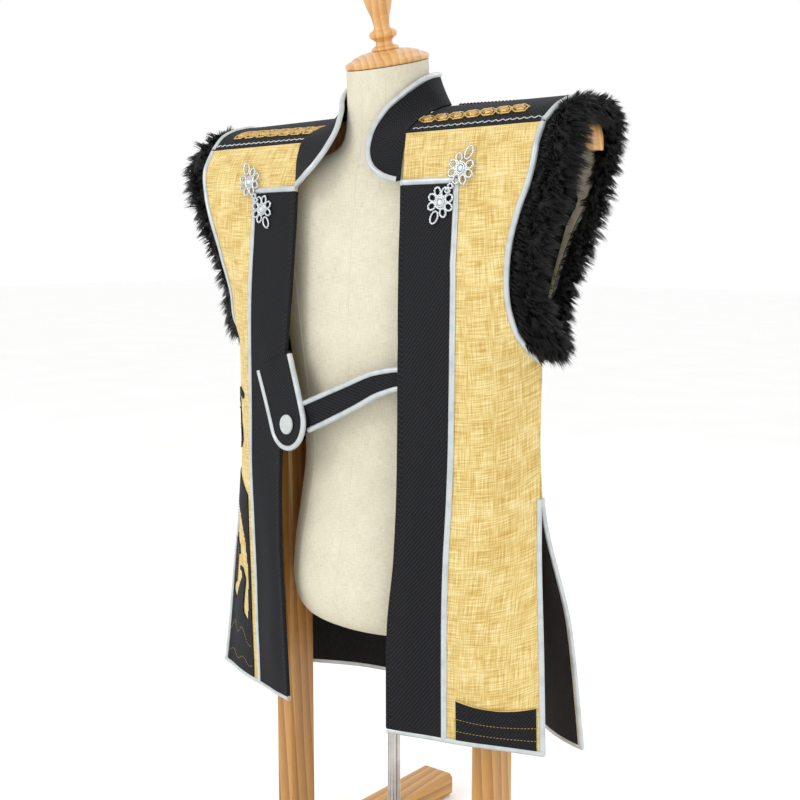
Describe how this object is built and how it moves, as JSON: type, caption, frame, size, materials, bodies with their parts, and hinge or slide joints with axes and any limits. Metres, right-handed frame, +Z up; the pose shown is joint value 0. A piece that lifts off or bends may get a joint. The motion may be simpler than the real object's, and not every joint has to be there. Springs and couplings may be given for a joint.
{
  "type": "jinbaori surcoat on a dress form and wooden stand",
  "caption": "Sleeveless open surcoat with standing collar, fur-edged armholes and a buttoned front strap, shown on a limbless dress form with a pole base and a low wooden frame.",
  "frame": {"origin": "on the floor, in the middle of the pole's round base", "axes": "+Z up, -Y the way the coat's front faces, +X the wearer's left"},
  "size_m": [0.677, 0.75, 1.3388],
  "materials": {
    "gold_cloth": "slub weave, matt",
    "black_cloth": "twill, matt",
    "lining": "plain, matt",
    "silver_binding": "satin binding",
    "fur": "long-pile fur, soft sheen",
    "silver_cord": "silver wrapped cord",
    "button": "satin",
    "linen": "linen cover, matt",
    "turned_wood": "varnished",
    "pine": "varnished",
    "steel": "polished"
  },
  "bodies": {
    "root": {"arm_left": "pine", "arm_right": "pine", "back": "gold_cloth", "band_left": "black_cloth", "band_right": "black_cloth", "base": "steel", "binding_armhole_left": "silver_binding", "binding_armhole_right": "silver_binding", "binding_back_armhole_left": "silver_binding", "binding_back_armhole_right": "silver_binding", "binding_back_vent_left": "silver_binding", "binding_back_vent_right": "silver_binding", "binding_band_left": "silver_binding", "binding_band_right": "silver_binding", "binding_collar": "silver_binding", "binding_hem_back": "silver_binding", "binding_hem_left": "silver_binding", "binding_hem_right": "silver_binding", "binding_strap_lower": "silver_binding", "binding_strap_upper": "silver_binding", "binding_tab": "silver_binding", "binding_top_left": "silver_binding", "binding_top_right": "silver_binding", "binding_vent_left": "silver_binding", "binding_vent_right": "silver_binding", "border_back": "black_cloth", "border_left": "black_cloth", "button": "button", "cloud_right": "black_cloth", "collar": "black_cloth", "curl_right": "black_cloth", "finial": "turned_wood", "foot_left": "pine", "foot_right": "pine", "form": "linen", "frog_lower_left": "silver_cord", "frog_lower_right": "silver_cord", "frog_upper_left": "silver_cord", "frog_upper_right": "silver_cord", "front_left": "gold_cloth", "front_right": "gold_cloth", "fur_left": "fur", "fur_right": "fur", "lining_back": "lining", "neck_cap": "turned_wood", "pole": "steel", "post_left": "pine", "post_right": "pine", "rail": "pine", "strap": "black_cloth", "tab": "black_cloth", "yoke_left": "black_cloth", "yoke_right": "black_cloth"}
  },
  "joints": []
}
